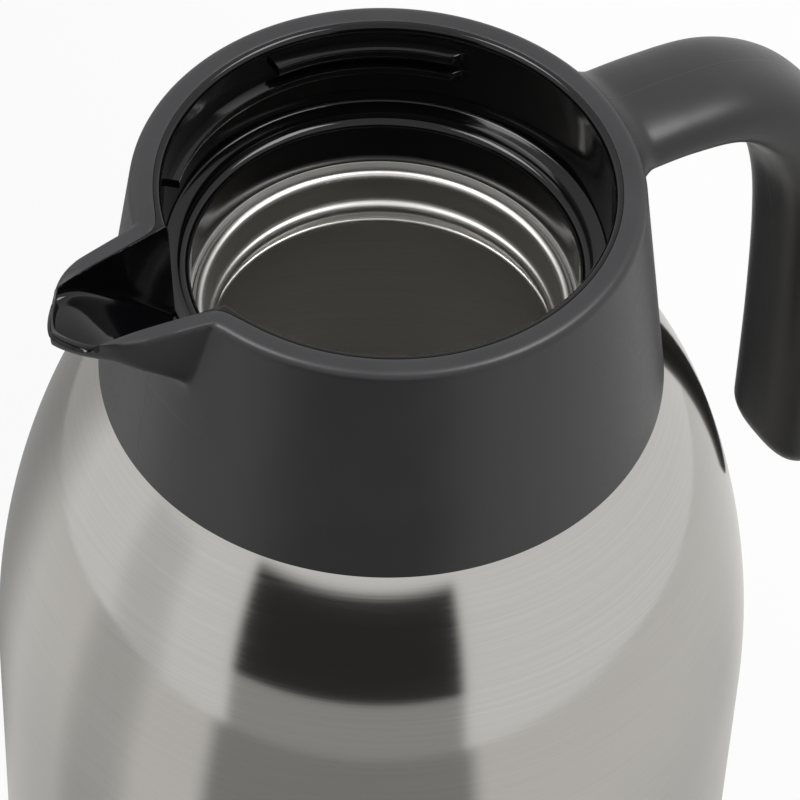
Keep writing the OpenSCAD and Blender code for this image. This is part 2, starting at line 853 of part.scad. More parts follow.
module lid_cover() {
    edge = 2;
    color(satin_black) on_table() difference() {
        union() {
            rotate_extrude($fn = ring_fn) {
                translate([cover_r - edge, cover_rise - edge]) circle(edge);
                translate([stopper_r - stopper_wall, cover_seat_z])
                    square([cover_r - stopper_r + stopper_wall, cover_rise - edge - cover_seat_z]);
                translate([0, cover_rise - cover_plate]) square([cover_r - edge, cover_plate]);
            }
            cover_boss_at() translate([0, 0, deck_z])
                cylinder(r = boss_r, h = cover_rise - cover_plate / 2 - deck_z);
        }
        slot_cut();
        cover_boss_at() translate([0, 0, deck_z - past])
            cylinder(r = small_screw_r + 0.05, h = small_screw_length + 2 * past, $fn = 32);
    }
}

// Lever: a flat flap over the port, a hinge barrel and a raised thumb tab

spring_half = 3.4;
spring_wire = 0.35;
spring_turns = 6;
spring_room = 4;
stud_r = 2;
stud_height = 1.6;

// Side of the thumb tab, from the hinge outwards
module tab_side() {
    top_z = pin_z + tab_top;
    end_x = pin_x + tab_reach;
    polygon([
        [pin_x - barrel_r, flap_low],
        [pin_x - barrel_r, cover_rise],
        [pin_x + barrel_r, cover_rise],
        [pin_x + 0.4 * tab_reach, cover_rise + tab_thick],
        [end_x - 1.5 * tab_thick, top_z],
        [end_x, top_z],
        [end_x, top_z - tab_thick],
        [end_x - 1.3 * tab_thick, top_z - tab_thick],
        [pin_x + 0.4 * tab_reach, cover_rise - 0.4],
        [pin_x + barrel_r, pin_z + 0.6],
        [pin_x, pin_z],
        [pin_x - barrel_r, pin_z]
    ]);
}

module flip_lever() {
    barrel_half_length = lever_half_width - 0.2;
    color(satin_black) on_table() difference() {
        union() {
            intersection() {
                translate([-cover_r, -lever_half_width, flap_low])
                    cube([cover_r + pin_x - 2, 2 * lever_half_width, cover_rise - flap_low]);
                translate([0, 0, flap_low])
                    cylinder(r = cover_r - 0.2, h = cover_rise - flap_low + past, $fn = ring_fn);
            }
            hinge_bar(barrel_r, barrel_half_length);
            translate([0, tab_half, 0]) rotate([90, 0, 0]) linear_extrude(2 * tab_half) tab_side();
            translate([pin_x - barrel_r, -barrel_half_length, pin_z])
                cube([1.6 * barrel_r, 2 * barrel_half_length, cover_rise - pin_z]);
        }
        hinge_bar(pin_r + pin_gap, pin_half + past);
        // Room for the spring round the pin
        translate([pin_x - spring_room, -spring_half - 0.6, pin_z - spring_room])
            cube([2 * spring_room, 2 * spring_half + 1.2, spring_room + 2.4]);
        translate([port_x, 0, flap_low - past]) cylinder(r = stud_r, h = past + stud_height);
    }
}

module port_seal() {
    height = flap_low - (deck_z + seat_rise) - 0.3;
    color(silicone) on_table() translate([port_x, 0, flap_low - height]) {
        cylinder(r = port_r + 1.6, h = height);
        cylinder(r = stud_r - 0.05, h = height + stud_height - 0.2);
    }
}

module hinge_pin() {
    color(steel) on_table() hinge_bar(pin_r, pin_half);
}

// Close coil round the pin, with one leg down to the deck and one up to the flap.
// The coil starts behind the pin and ends half a turn round, in front of it.
module lever_spring() {
    coil_r = pin_r + spring_wire + 0.25;
    rise = 2 * spring_half - 2 * spring_wire;
    steps = 12;
    count = (spring_turns + 0.5) * steps;
    coil = [for (step = [0:count]) [360 * step / steps, rise * (step / count - 0.5), 0]];
    path = concat(
        [[0, -rise / 2, deck_z + 0.05 - pin_z]],
        coil,
        [[180, rise / 2, flap_low + 0.9 - pin_z]]
    );
    rings = [for (spot = path)
        [for (corner = [0:5])
            let (out = coil_r + spring_wire * cos(60 * corner))
            [pin_x + out * cos(spot[0]),
             spot[1] + spring_wire * sin(60 * corner),
             pin_z + out * sin(spot[0]) + spot[2]]]];
    color(steel) on_table()
        polyhedron([for (ring = rings, point = ring) point], loft_faces(len(rings), 6));
}

module cover_screws() {
    color(steel) on_table() cover_boss_at() translate([0, 0, deck_z - deck_height]) {
        translate([0, 0, -small_head_height]) cylinder(r = small_head_r, h = small_head_height, $fn = 32);
        translate([0, 0, -small_head_height / 2]) cylinder(
            r = small_screw_r, h = small_head_height / 2 + deck_height + small_screw_length, $fn = 32
        );
    }
}

outer_shell();
outer_base();
inner_vessel();
vacuum_seal();
getter();
radiation_foil();
collar();
mouth_liner();
neck_ring();
neck_gasket();
collar_screws();
handle();
handle_screws();
base_cap();
foot_pad();
lid_body();
lid_bottom();
lid_cover();
lid_insulation();
lid_gasket();
flip_lever();
port_seal();
hinge_pin();
lever_spring();
cover_screws();
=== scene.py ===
# Looks of the vacuum carafe: a steel body, a satin collar with its spout, a gloss liner and a satin handle.
# Meshes are drawn in millimetres, with the rim at height RIM over the table, and new_mesh scales them to
# metres. Materials, floor, lamps and camera are in metres.
import math

import bpy
import numpy as np
from mathutils import Matrix, Vector


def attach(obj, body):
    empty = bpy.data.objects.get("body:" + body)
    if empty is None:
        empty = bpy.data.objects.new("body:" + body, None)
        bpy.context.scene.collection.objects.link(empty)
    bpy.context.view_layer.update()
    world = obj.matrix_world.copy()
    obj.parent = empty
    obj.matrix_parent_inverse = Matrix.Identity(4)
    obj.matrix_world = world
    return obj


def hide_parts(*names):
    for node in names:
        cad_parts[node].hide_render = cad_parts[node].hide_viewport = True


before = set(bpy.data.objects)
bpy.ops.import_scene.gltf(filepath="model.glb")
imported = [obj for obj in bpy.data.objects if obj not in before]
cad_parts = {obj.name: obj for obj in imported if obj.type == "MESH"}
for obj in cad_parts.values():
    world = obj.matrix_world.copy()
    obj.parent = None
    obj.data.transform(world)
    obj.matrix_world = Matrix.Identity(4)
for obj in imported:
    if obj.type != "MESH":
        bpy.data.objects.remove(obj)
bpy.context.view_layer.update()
MM = 0.001

# Heights over the table and radii of the carafe
RIM = 218.0
BODY_R = 74.5
SHOULDER_Z = 90.0
LOWER_CURVE = 176.0
UPPER_CURVE = 90.0
SHOULDER_RISE = 55.6
SHOULDER_TOP = 176.0
NECK_R = 35.6
NECK_TOP = 183.8
COLLAR_FOOT = 171.0
SKIRT_R = 53.1
RIM_R = 46.7
RIM_INNER = 42.0
MOUTH_R = 40.9
LEDGE_DEPTH = 19.4

# Spout, from the axis outwards. Depths are measured down from the rim.
SPOUT_REACH = 69.2
SPOUT_HALF = 13.5
SPOUT_ROOT = 44.9
SPOUT_TAPER = 0.165
SPOUT_LEAN = 0.1
SPOUT_ROUND = 2.2
SPOUT_SWEEP = 19.2
TIP_START = 57.0
TIP_POWER = 0.7
KEEL_ROOT = 19.6
KEEL_TIP = 5.8
KEEL_LEVEL = 61.6
CHANNEL_HALF = 10.5
CHANNEL_TAPER = 0.125
CHANNEL_ROOT = 41.3
CHANNEL_TIP = 0.9
CHANNEL_STEEPNESS = 5.0
LIP_WIDTH = 9.0
LIP_DROP = 1.9

# Rounded lip at the inner edge of the liner's ledge, and the throat under it
LEDGE_END_R = 39.2
LINER_LIP_R = 37.7
LINER_LIP_DEPTH = 22.0
LINER_LIP_ROUND = 1.8
THROAT_R = 36.0
THROAT_WALL = 2.0
THROAT_DEPTH = 30.8

TURNED_SEGMENTS = 512


# Helpers for meshes

def smooth_step(value, low, high):
    share = np.clip((value - low) / (high - low), 0, 1)
    return share * share * (3 - 2 * share)


def soft_max(a, b, width):
    return 0.5 * (a + b + np.sqrt((a - b) ** 2 + width ** 2))


def soft_min(a, b, width):
    return 0.5 * (a + b - np.sqrt((a - b) ** 2 + width ** 2))


def arc(centre, radius, start, end, steps):
    """Points of an arc in the half plane, from one angle to another in degrees."""
    angles = np.radians(np.linspace(start, end, steps))
    return [(centre[0] + radius * math.cos(a), centre[1] + radius * math.sin(a)) for a in angles]


def resample(points, count):
    """The same open line with evenly spaced points."""
    points = np.asarray(points, float)
    steps = np.hypot(*np.diff(points, axis=0).T)
    along = np.concatenate([[0], np.cumsum(steps)])
    wanted = np.linspace(0, along[-1], count)
    return np.column_stack([np.interp(wanted, along, points[:, k]) for k in (0, 1)])


def new_mesh(name, points, faces, material):
    mesh = bpy.data.meshes.new(name)
    mesh.from_pydata([tuple(p) for p in np.asarray(points, float) * MM], [], faces)
    mesh.validate()
    mesh.materials.append(material)
    piece = bpy.data.objects.new(name, mesh)
    bpy.context.scene.collection.objects.link(piece)
    return piece


def grid_faces(rows, columns, close_rows, close_columns):
    """Quads between the points of a grid, row by row."""
    faces = []
    for i in range(rows if close_rows else rows - 1):
        here, after = i * columns, ((i + 1) % rows) * columns
        for j in range(columns if close_columns else columns - 1):
            beside = (j + 1) % columns
            faces.append((here + j, here + beside, after + beside, after + j))
    return faces


def turned(name, profile, material):
    """Closed outline of (radius, height) points turned round the axis."""
    turns = np.linspace(0, 2 * math.pi, TURNED_SEGMENTS, endpoint=False)
    points = [(r * math.cos(t), r * math.sin(t), z) for t in turns for r, z in profile]
    return new_mesh(name, points, grid_faces(TURNED_SEGMENTS, len(profile), True, True), material)


def crease(piece, degrees):
    """Smooth shading, with edges sharper than the angle kept crisp."""
    mesh = piece.data
    mesh.update()
    for polygon in mesh.polygons:
        polygon.use_smooth = True
    mesh.set_sharp_from_angle(angle=math.radians(degrees))
    return piece


def stand_in(piece, node):
    """The piece takes the place of a CAD node of the carafe."""
    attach(piece, "carafe")
    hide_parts(node)


# Helpers for materials

class Nodes:
    """A node tree, with short calls for the nodes that repeat."""

    def __init__(self, tree, coordinates):
        self.tree = tree
        self.place = tree.nodes.new("ShaderNodeTexCoord").outputs[coordinates]

    def link(self, output, target):
        self.tree.links.new(output, target)

    def node(self, kind, **settings):
        node = self.tree.nodes.new(kind)
        for key, value in settings.items():
            setattr(node, key, value)
        return node

    def maths(self, operation, a, b=None):
        node = self.node("ShaderNodeMath", operation=operation)
        for socket, value in zip(node.inputs, (a, b)):
            if value is None:
                continue
            if isinstance(value, (int, float)):
                socket.default_value = value
            else:
                self.link(value, socket)
        return node.outputs[0]

    def remainder(self, value, share=1.0):
        """One less a share of the value."""
        if share != 1.0:
            value = self.maths("MULTIPLY", value, share)
        return self.maths("SUBTRACT", 1.0, value)

    def stretched(self, scale):
        node = self.node("ShaderNodeMapping")
        self.link(self.place, node.inputs["Vector"])
        node.inputs["Scale"].default_value = scale
        return node.outputs[0]

    def noise(self, scale, detail, roughness, vector=None):
        node = self.node("ShaderNodeTexNoise")
        self.link(vector or self.place, node.inputs["Vector"])
        node.inputs["Scale"].default_value = scale
        node.inputs["Detail"].default_value = detail
        node.inputs["Roughness"].default_value = roughness
        return node.outputs["Fac"]

    def mapped(self, value, low, high, to_low, to_high, kind="LINEAR"):
        node = self.node("ShaderNodeMapRange", interpolation_type=kind)
        self.link(value, node.inputs["Value"])
        for key, number in zip(("From Min", "From Max", "To Min", "To Max"), (low, high, to_low, to_high)):
            node.inputs[key].default_value = number
        return node.outputs[0]

    def eased(self, value, low, high, to_low=0, to_high=1):
        return self.mapped(value, low, high, to_low, to_high, "SMOOTHSTEP")

    def colours(self, value, first, second):
        node = self.node("ShaderNodeMix", data_type="RGBA")
        self.link(value, node.inputs["Factor"])
        node.inputs["A"].default_value = (*first, 1)
        node.inputs["B"].default_value = (*second, 1)
        return node.outputs["Result"]

    def bump(self, height, distance, strength, normal=None):
        node = self.node("ShaderNodeBump")
        node.inputs["Distance"].default_value = distance
        node.inputs["Strength"].default_value = strength
        self.link(height, node.inputs["Height"])
        if normal is not None:
            self.link(normal, node.inputs["Normal"])
        return node.outputs[0]

    def edges(self, radius):
        """1 on convex edges, 0 elsewhere."""
        bevel = self.node("ShaderNodeBevel", samples=4)
        bevel.inputs["Radius"].default_value = radius
        geometry = self.node("ShaderNodeNewGeometry")
        dot = self.node("ShaderNodeVectorMath", operation="DOT_PRODUCT")
        self.link(bevel.outputs[0], dot.inputs[0])
        self.link(geometry.outputs["Normal"], dot.inputs[1])
        return self.mapped(dot.outputs["Value"], 0.99, 0.9, 0, 1)

    def axes(self):
        """The X, Y and Z of the place."""
        split = self.node("ShaderNodeSeparateXYZ")
        self.link(self.place, split.inputs[0])
        return split.outputs

    def facing(self, axes, azimuth, least):
        """Cosine of the horizontal angle between the place, seen from the axis, and an azimuth."""
        squares = [self.maths("POWER", axes[key], 2.0) for key in ("X", "Y")]
        flat = self.maths("MAXIMUM", self.maths("SQRT", self.maths("ADD", *squares)), least)
        a = math.radians(azimuth)
        along_x = self.maths("MULTIPLY", axes["X"], math.cos(a))
        along_y = self.maths("MULTIPLY", axes["Y"], math.sin(a))
        return self.maths("DIVIDE", self.maths("ADD", along_x, along_y), flat)


def new_material(name):
    material = bpy.data.materials.new(name)
    material.use_nodes = True
    n = Nodes(material.node_tree, "Object")
    n.material = material
    n.shader = material.node_tree.nodes["Principled BSDF"]
    return n


def cosine(degrees):
    return math.cos(math.radians(degrees))


# Materials

def brushed_steel(name, light, dark, roughness, grain=1.0, mottle=0.0, metal=1.0):
    """Steel brushed round the axis: long fine lines that follow circles of equal height."""
    n = new_material(name)
    lines = n.noise(1.0, 3.0, 0.6, n.stretched((22, 22, 3600)))
    broad = n.noise(1.0, 2.0, 0.5, n.stretched((30, 30, 1500)))
    cloud = n.noise(24.0, 3.0, 0.5)
    mixed = n.maths("ADD", n.maths("MULTIPLY", lines, 0.6), n.maths("MULTIPLY", broad, 0.4))
    tone = n.maths("ADD", n.maths("MULTIPLY", mixed, 1 - mottle), n.maths("MULTIPLY", cloud, mottle))
    n.link(n.colours(n.mapped(tone, 0.3, 0.7, 0, 1), dark, light), n.shader.inputs["Base Color"])
    n.link(n.mapped(mixed, 0.25, 0.75, roughness * 0.8, roughness * 1.25), n.shader.inputs["Roughness"])
    n.shader.inputs["Metallic"].default_value = metal
    n.shader.inputs["Anisotropic"].default_value = 0.3
    tangent = n.node("ShaderNodeTangent", direction_type="RADIAL", axis="Z")
    n.link(tangent.outputs[0], n.shader.inputs["Tangent"])
    n.link(n.bump(mixed, 0.000006 * grain, 0.3), n.shader.inputs["Normal"])
    return n.material


def satin_plastic(name, base, roughness, parting=None):
    """Fine grained satin moulding, shinier on its edges, with a parting line where the given axis is 0."""
    n = new_material(name)
    grain = n.noise(2600.0, 2.0, 0.6)
    pores = n.noise(900.0, 3.0, 0.6)
    cloud = n.noise(38.0, 4.0, 0.55)
    lighter = tuple(min(1, c * 1.35 + 0.002) for c in base)
    n.link(n.colours(n.mapped(cloud, 0.35, 0.7, 0, 1), base, lighter), n.shader.inputs["Base Color"])
    rubbed = n.maths("MULTIPLY", n.edges(0.0006), 0.10)
    worn = n.maths("ADD", n.maths("MULTIPLY", cloud, 0.6), n.maths("MULTIPLY", pores, 0.4))
    rough = n.mapped(worn, 0.3, 0.7, roughness - 0.05, roughness + 0.06)
    n.link(n.maths("SUBTRACT", rough, rubbed), n.shader.inputs["Roughness"])
    n.shader.inputs["Specular IOR Level"].default_value = 0.5
    normal = n.bump(grain, 0.000012, 0.5)
    if parting:
        line = n.eased(n.maths("ABSOLUTE", n.axes()[parting]), 0.0, 0.00022, 1, 0)
        normal = n.bump(line, 0.00005, 0.6, normal)
    n.link(normal, n.shader.inputs["Normal"])
    return n.material


def gloss_plastic(name, base, roughness):
    """Polished black moulding with faint wipe marks."""
    n = new_material(name)
    marks = n.noise(1.0, 3.0, 0.6, n.stretched((160, 900, 160)))
    cloud = n.noise(60.0, 3.0, 0.5)
    n.shader.inputs["Base Color"].default_value = (*base, 1)
    wiped = n.mapped(n.maths("MULTIPLY", marks, cloud), 0.1, 0.5, roughness, roughness + 0.07)
    n.link(wiped, n.shader.inputs["Roughness"])
    n.shader.inputs["Specular IOR Level"].default_value = 0.38
    n.link(n.bump(cloud, 0.00002, 0.15), n.shader.inputs["Normal"])
    return n.material


def soft_rubber(name, base, roughness=0.6, scale=1200.0):
    n = new_material(name)
    grain = n.noise(scale, 3.0, 0.6)
    cloud = n.noise(90.0, 2.0, 0.5)
    n.link(n.colours(cloud, base, tuple(min(1, c * 1.5) for c in base)), n.shader.inputs["Base Color"])
    n.link(n.mapped(grain, 0.3, 0.7, roughness - 0.08, roughness + 0.08), n.shader.inputs["Roughness"])
    n.link(n.bump(grain, 0.00003, 0.4), n.shader.inputs["Normal"])
    return n.material


STEEL = brushed_steel("body_steel", (0.545, 0.53, 0.505), (0.50, 0.485, 0.46), 0.10)
NECK_STEEL = brushed_steel("neck_steel", (0.74, 0.725, 0.70), (0.64, 0.625, 0.60), 0.32, grain=2.0)
INSIDE_STEEL = brushed_steel("inside_steel", (0.72, 0.70, 0.66), (0.60, 0.58, 0.54), 0.62,
                             grain=3.0, mottle=0.6, metal=0.55)
BOLT_STEEL = brushed_steel("bolt_steel", (0.55, 0.54, 0.52), (0.45, 0.44, 0.42), 0.3)
SATIN = satin_plastic("collar_satin", (0.013, 0.013, 0.0145), 0.38, "Y")
GRIP = satin_plastic("handle_satin", (0.009, 0.009, 0.0098), 0.36, "Y")
DARK_SATIN = satin_plastic("foot_satin", (0.02, 0.02, 0.021), 0.5)
GLOSS = gloss_plastic("liner_gloss", (0.002, 0.002, 0.0024), 0.07)
SILICONE = soft_rubber("seal_silicone", (0.3, 0.3, 0.29))
RUBBER = soft_rubber("foot_rubber", (0.018, 0.018, 0.018), 0.75)
FOAM = soft_rubber("lid_foam", (0.7, 0.68, 0.6), 0.85, 700.0)
FOIL = brushed_steel("wrap_foil", (0.75, 0.62, 0.52), (0.6, 0.48, 0.4), 0.15, grain=6.0, mottle=0.5)


# Steel body and vessel. The shoulder is a lower arc that runs into a tighter upper arc.

BREAK = math.asin(SHOULDER_RISE / LOWER_CURVE)
LOWER_X = BODY_R - LOWER_CURVE
UPPER_X = LOWER_X + (LOWER_CURVE - UPPER_CURVE) * math.cos(BREAK)
UPPER_Z = SHOULDER_Z + (LOWER_CURVE - UPPER_CURVE) * math.sin(BREAK)


def shoulder(inset, top):
    """Outline of the shoulder, from its foot up to a height."""
    first = arc((LOWER_X, SHOULDER_Z), LOWER_CURVE - inset, 0, math.degrees(BREAK), 60)
    end = math.degrees(math.asin((top - UPPER_Z) / (UPPER_CURVE - inset)))
    second = arc((UPPER_X, UPPER_Z), UPPER_CURVE - inset, math.degrees(BREAK), end, 50)
    return first + second[1:]


def make_body():
    foot_z, foot_curve, wall, opening = 4.0, 12.0, 0.8, 58.0
    neck_curve = 1.2
    corner = (BODY_R - foot_curve, foot_z + foot_curve)
    outside = [(opening, foot_z)] + arc(corner, foot_curve, -90, 0, 24) + shoulder(0, SHOULDER_TOP)
    outside += arc((NECK_R + neck_curve, SHOULDER_TOP + neck_curve), neck_curve, 265, 180, 8)
    outside += [(NECK_R, SHOULDER_TOP + 2.5), (NECK_R, NECK_TOP)]
    inside_top = SHOULDER_TOP - wall
    inside = [(NECK_R - wall, NECK_TOP), (NECK_R - wall, inside_top)]
    inside += list(reversed(shoulder(wall, inside_top)))
    inside += arc(corner, foot_curve - wall, 0, -90, 24) + [(opening, foot_z + wall)]
    body = turned("steel_body", outside + inside, STEEL)
    stand_in(crease(body, 40), "outer_shell")


VESSEL_NECK_R = 33.0
VESSEL_INSET = 5.3
VESSEL_WALL = 0.6
VESSEL_FOOT = 21.0
VESSEL_CORNER = 14.0
LIP_ROUND = 1.3
LIP_Z = RIM - 31.3
BEAD_Z = RIM - 39.6
BEAD_R = 1.45
STEP_Z = RIM - 43.4
DARK_BELOW = RIM - 43.8


def vessel_neck():
    """Inner face of the vessel's neck, downwards: rolled lip, bead and a small step at its foot."""
    neck_in = VESSEL_NECK_R
    neck = arc((NECK_R - LIP_ROUND, LIP_Z - LIP_ROUND), LIP_ROUND, -50, 180, 26)
    neck += [(neck_in, LIP_Z - 3.2), (neck_in, BEAD_Z + 2.2), (neck_in - 0.25, BEAD_Z + 1.5)]
    neck += arc((neck_in + 0.1, BEAD_Z), BEAD_R, 120, 240, 16)
    neck += [(neck_in - 0.25, BEAD_Z - 1.5), (neck_in, BEAD_Z - 2.4), (neck_in, STEP_Z + 0.6)]
    neck += arc((neck_in - 0.1, STEP_Z), 0.7, 90, 200, 8)
    return neck + [(neck_in + 0.1, STEP_Z - 1.6)]


def make_vessel():
    axis_r = 0.01
    corner = (BODY_R - VESSEL_INSET - VESSEL_CORNER, VESSEL_FOOT + VESSEL_CORNER)
    outer = [(axis_r, VESSEL_FOOT)] + arc(corner, VESSEL_CORNER, -90, 0, 20) + shoulder(VESSEL_INSET, 167.8)
    neck_out = VESSEL_NECK_R + VESSEL_WALL
    outer += [(neck_out, 173.8), (neck_out, 182.0), (NECK_R - 0.9, 183.4)]
    inside = list(reversed(shoulder(VESSEL_INSET + VESSEL_WALL, 167.4)))
    inside += arc(corner, VESSEL_CORNER - VESSEL_WALL, 0, -90, 20)
    inside += [(axis_r, VESSEL_FOOT + VESSEL_WALL)]
    vessel = turned("steel_vessel", outer + vessel_neck() + inside, NECK_STEEL)
    darken_inside(vessel)
    stand_in(crease(vessel, 50), "inner_vessel")


def darken_inside(vessel):
    """Gives the faces inside the vessel, below its neck, the matt steel of the inside."""
    vessel.data.materials.append(INSIDE_STEEL)
    floor_z = (VESSEL_FOOT + 2.0) * MM
    neck_limit = (VESSEL_NECK_R + 0.35) * MM
    for polygon in vessel.data.polygons:
        x, y, height = polygon.center
        faces_in = polygon.normal.x * x + polygon.normal.y * y < 0
        inner = faces_in or height < floor_z or math.hypot(x, y) < neck_limit
        if height < DARK_BELOW * MM and inner:
            polygon.material_index = 1


# Collar and liner: each column of points is a section at one angle from the spout's middle

def column_angles():
    """Angles from the spout's middle, close together across the spout."""
    fine = np.arange(-SPOUT_SWEEP, SPOUT_SWEEP, 0.12)
    coarse = np.linspace(SPOUT_SWEEP, 360 - SPOUT_SWEEP, 300, endpoint=False)
    return np.radians(np.concatenate([fine, coarse]))


def side_half(x, depth):
    """Half width of the spout at a distance from the axis, with its tip rounded in."""
    share = np.clip((x - TIP_START) / (SPOUT_REACH - TIP_START), 0, 1)
    straight = SPOUT_HALF - (x - SPOUT_ROOT) * SPOUT_TAPER - SPOUT_LEAN * depth
    return straight * np.power(1 - share ** 2, TIP_POWER)


def keel(x):
    """Depth of the spout's underside at a distance from the axis."""
    slope = (KEEL_ROOT - KEEL_TIP) / (KEEL_LEVEL - SPOUT_ROOT)
    return soft_max(KEEL_TIP + (KEEL_LEVEL - x) * slope, KEEL_TIP, 1.0)


def last_inside(inside):
    """Place of the last true value in each row."""
    return inside.shape[1] - 1 - np.argmax(inside[:, ::-1], axis=1)


def spout_radius(angles, depths):
    """Distance from the axis at which a ray leaves the spout, for every angle and depth, or 0."""
    step = 0.06
    outside = 9.0
    reach = np.arange(38, SPOUT_REACH + 0.6, step)
    x = reach[None, :] * np.cos(angles)[:, None]
    y = np.abs(reach[None, :] * np.sin(angles)[:, None])
    beyond = np.where(x > SPOUT_REACH, outside, 0.0)
    rows = np.arange(len(angles))
    out = np.zeros((len(angles), len(depths)))
    for k, depth in enumerate(depths):
        gap = soft_max(y - side_half(x, depth), depth - keel(x), SPOUT_ROUND) - 0.35 + beyond
        last = last_inside(gap < 0)
        after = np.minimum(last + 1, len(reach) - 1)
        here, there = gap[rows, last], gap[rows, after]
        share = np.where(there > here, -here / np.where(there > here, there - here, 1), 0)
        out[:, k] = np.where((gap < 0).any(axis=1), reach[last] + np.clip(share, 0, 1) * step, 0)
    return out


def wall_radius(angles, depths):
    """Distance of the collar's outer face from the axis."""
    plain = (RIM_R + (SKIRT_R - RIM_R) * depths / (RIM - COLLAR_FOOT))[None, :]
    spout = spout_radius(angles, depths)
    near = np.abs(np.degrees(angles)) < SPOUT_SWEEP + 0.1
    return np.where(near[:, None] & (spout > 0), soft_max(plain, spout, 1.3), plain)


def plain_angles(angles):
    """Angles brought to the range from -180 to 180 degrees."""
    return (angles + math.pi) % (2 * math.pi) - math.pi


def channel_edge(angles):
    """Distance of the edge between satin and gloss from the axis, with a round corner at the mouth."""
    sweep = np.abs(plain_angles(angles))
    reach = np.arange(30, SPOUT_REACH, 0.05)
    x = reach[None, :] * np.cos(sweep)[:, None]
    y = reach[None, :] * np.sin(sweep)[:, None]
    ahead = sweep[:, None] < 0.5
    inside = (y - (CHANNEL_HALF - (x - RIM_INNER) * CHANNEL_TAPER) < 0) & ahead
    edge = np.where(inside.any(axis=1), reach[last_inside(inside)], reach[0])
    return soft_max(edge, RIM_INNER, 4.0)


ANGLES = column_angles()
SWEEP = np.degrees(np.abs(plain_angles(ANGLES)))
# 1 at the tip, where the liner rolls over the collar, and 0 where the satin band is whole
ROLL = smooth_step(SWEEP, 9.3, 4.4)
# 1 where the channel passes, and 0 round the mouth
IN_CHANNEL = smooth_step(SWEEP, 15.6, 14.2)
OUTER_TOP = wall_radius(ANGLES, np.array([0.0]))[:, 0]
SATIN_EDGE = np.minimum(channel_edge(ANGLES), OUTER_TOP - 0.5)


def place(columns):
    """Points in space for the columns of (radius, depth) points. The spout points along -X."""
    points = np.empty((len(columns), columns.shape[1], 3))
    points[:, :, 0] = -columns[:, :, 0] * np.cos(ANGLES)[:, None]
    points[:, :, 1] = -columns[:, :, 0] * np.sin(ANGLES)[:, None]
    points[:, :, 2] = RIM - columns[:, :, 1]
    return points.reshape(-1, 3)


def channel_floor(x):
    """Depth of the channel's floor at a distance along the spout."""
    slope = (LEDGE_DEPTH - CHANNEL_TIP) / (KEEL_LEVEL - CHANNEL_ROOT)
    return soft_max(LEDGE_DEPTH - (x - CHANNEL_ROOT) * slope, CHANNEL_TIP, 4.5)


def under_channel(k, start, end, below, plain_depths):
    """Line from one radius to another that passes under the liner's channel in the spout."""
    points = []
    for share in (0, 0.2, 0.4, 0.6, 0.8, 1):
        reach = start * (1 - share) + end * share
        low = min(float(channel_floor(reach * math.cos(ANGLES[k]))), LEDGE_DEPTH) + below
        plain = plain_depths[0] * (1 - share) + plain_depths[1] * share
        points.append((reach, IN_CHANNEL[k] * low + (1 - IN_CHANNEL[k]) * plain))
    return points


RIM_ROUNDING, SPOUT_ROUNDING = 1.5, 1.0
BAND_BEVEL = 0.42


def collar_column(k, wall, depths):
    """Section of the collar: flat top, rounded outer face, foot, and the inner face behind the liner."""
    roll = ROLL[k]
    in_spout = float(smooth_step(SWEEP[k], 19, 14))
    rounding = RIM_ROUNDING - (RIM_ROUNDING - SPOUT_ROUNDING) * in_spout
    drop = 1.6 * roll
    inner = SATIN_EDGE[k] - 0.6 * roll
    rounded = rounding - np.sqrt(np.maximum(rounding ** 2 - (rounding - depths) ** 2, 0))
    outer = wall - np.where(depths < rounding, rounded, 0) - 0.5 * roll * smooth_step(depths, 5, 2)
    keep = depths >= drop
    side = resample(np.column_stack([outer[keep], depths[keep]]), 130)
    flat = inner + BAND_BEVEL
    top = [(inner, 3.0), (inner, drop + 0.5), (inner + 0.12, drop + 0.14), (flat, drop)]
    top += [(flat + (side[0][0] - flat) * share, drop) for share in (0.33, 0.66)]
    limit = RIM - COLLAR_FOOT
    foot = [(SKIRT_R - 0.15, limit), (SKIRT_R - 0.9, limit + 0.1), (SKIRT_R - 1.6, limit - 0.6),
            (RIM_INNER + 6.2, limit - 8)]
    behind = under_channel(k, RIM_INNER + 0.6, inner, 1.5, (20.0, 4.0))
    return top + [tuple(point) for point in side] + foot + behind


def make_collar():
    limit = RIM - COLLAR_FOOT
    depths = np.concatenate([np.linspace(0, 8, 65), np.linspace(8.2, 26, 90), np.linspace(26.5, limit, 30)])
    walls = wall_radius(ANGLES, depths)
    columns = np.array([collar_column(k, wall, depths) for k, wall in enumerate(walls)])
    faces = grid_faces(len(ANGLES), columns.shape[1], True, True)
    collar = new_mesh("satin_collar", place(columns), faces, SATIN)
    stand_in(crease(collar, 35), "collar")


def liner_top(k):
    """Top of the liner from its outer edge to the mouth: channel with its rolled lip, or rounded chamfer."""
    roll = ROLL[k]
    end = OUTER_TOP[k] + 0.1
    edge = SATIN_EDGE[k] + (end - SATIN_EDGE[k]) * roll
    reach = np.linspace(MOUTH_R, edge, 90)
    x, y = reach * math.cos(ANGLES[k]), reach * abs(math.sin(ANGLES[k]))
    side = (CHANNEL_HALF - (x - RIM_INNER) * CHANNEL_TAPER - y) * CHANNEL_STEEPNESS
    channel = np.clip(soft_min(side + 0.8, channel_floor(x), 2.4), 0.3, LEDGE_DEPTH)
    inwards = np.clip((RIM_INNER - reach) / (RIM_INNER - MOUTH_R), 0, 1)
    chamfer = 0.1 + 1.6 * (1 - np.sqrt(1 - 0.98 * inwards ** 2))
    over = np.clip(1 - (end - reach) / LIP_WIDTH, 0, 1)
    rolled = roll * LIP_DROP * (1 - np.sqrt(1 - 0.995 * over ** 2))
    depth = IN_CHANNEL[k] * channel + (1 - IN_CHANNEL[k]) * chamfer + rolled
    return resample(np.column_stack([reach, depth])[::-1], 90), edge


